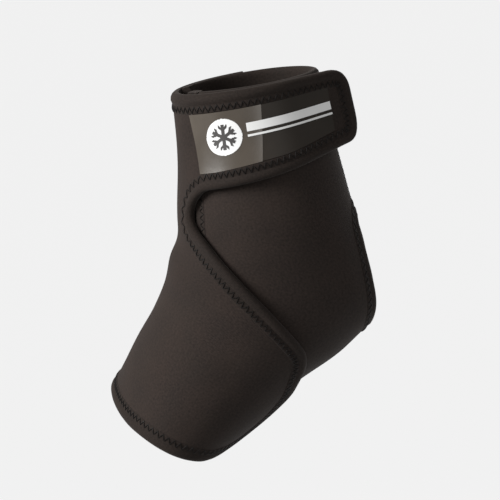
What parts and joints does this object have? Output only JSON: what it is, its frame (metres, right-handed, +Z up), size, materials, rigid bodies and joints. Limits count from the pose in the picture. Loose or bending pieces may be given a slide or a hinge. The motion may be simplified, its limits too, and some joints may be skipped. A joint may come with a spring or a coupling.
{
  "type": "cold compression wrap",
  "caption": "Neoprene cold compression wrap for a left foot and ankle, open at heel and toes, with an ankle strap, a foot flap and gel packs.",
  "frame": {"origin": "centre of the leg opening, on the plane of the top edge", "axes": "+Z up along the shin; toes towards -Y; the outer side of the left foot on +X"},
  "size_m": [0.1065, 0.1653, 0.1887],
  "materials": {
    "neoprene": "fine smooth knit laminated on neoprene",
    "binding": "folded stretch knit, zigzag stitched",
    "hook": "woven hook tape",
    "label_film": "glossy welded film",
    "label_print": "white heat transfer",
    "label_ink": "dark print",
    "seam_tape": "flat knit tape",
    "care_label": "blank white satin",
    "pack_film": "smooth welded film",
    "gel": "soft gel"
  },
  "bodies": {
    "wrap": {"lateral_panel": "neoprene", "medial_panel": "neoprene", "lateral_front_binding": "binding", "medial_front_binding": "binding", "leg_opening_binding": "binding", "toe_opening_binding": "binding", "heel_opening_binding": "binding", "seam_tapes": "seam_tape", "care_label": "care_label", "front_piece": "neoprene", "front_piece_seam_binding": "binding", "front_piece_hems": "binding"},
    "strap_front": {"strap_front": "neoprene", "strap_front_hems": "binding"},
    "strap_side": {"strap_side": "neoprene", "strap_side_hems": "binding", "strap_hook_pad": "hook", "label_patch": "label_film", "emblem_disc": "label_print", "emblem_mark": "label_ink", "label_stripes": "label_print"},
    "flap_top": {"flap_top": "neoprene", "flap_top_hems": "binding"},
    "flap_side": {"flap_side": "neoprene", "flap_side_hems": "binding"},
    "flap_sole": {"flap_sole": "neoprene", "flap_sole_hems": "binding", "flap_hook_pad": "hook"},
    "lateral_pack": {"lateral_pack_pouch": "pack_film", "lateral_pack_gel": "gel", "lateral_pack_hooks": "hook"},
    "medial_pack": {"medial_pack_pouch": "pack_film", "medial_pack_gel": "gel", "medial_pack_hooks": "hook"}
  },
  "joints": [
    {"name": "strap_root_fold", "type": "hinge", "parent": "wrap", "child": "strap_front", "pos_m": [0.02118, -0.04404, -0.02235], "axis": [0.0617, -0.2221, -0.9731], "range_deg": [0, 30]},
    {"name": "strap_side_fold", "type": "hinge", "parent": "strap_front", "child": "strap_side", "pos_m": [0.03246, -0.03514, -0.02214], "axis": [0.0956, -0.1984, -0.9754], "range_deg": [0, 75]},
    {"name": "flap_root_fold", "type": "hinge", "parent": "wrap", "child": "flap_top", "pos_m": [0.02527, -0.0795, -0.10421], "axis": [-0.0088, -0.5151, -0.8571], "range_deg": [0, 24.5]},
    {"name": "flap_side_fold", "type": "hinge", "parent": "flap_top", "child": "flap_side", "pos_m": [0.0473, -0.06112, -0.13007], "axis": [-0.0686, -0.6548, -0.7527], "range_deg": [0, 70]},
    {"name": "flap_sole_fold", "type": "hinge", "parent": "flap_side", "child": "flap_sole", "pos_m": [0.03702, -0.03505, -0.16252], "axis": [-0.0676, -0.8537, -0.5164], "range_deg": [0, 91]},
    {"name": "lateral_pack_slide", "type": "slide", "parent": "wrap", "child": "lateral_pack", "axis": [-0.2425, 0.0194, 0.97], "range_m": [0, 0.1]},
    {"name": "medial_pack_slide", "type": "slide", "parent": "wrap", "child": "medial_pack", "axis": [0.2425, 0.0194, 0.97], "range_m": [0, 0.1]}
  ],
  "couplings": [
    {"joint": "strap_root_fold", "follows": "strap_side_fold", "ratio": 0.4},
    {"joint": "flap_root_fold", "follows": "flap_side_fold", "ratio": 0.35},
    {"joint": "flap_sole_fold", "follows": "flap_side_fold", "ratio": 1.3}
  ]
}
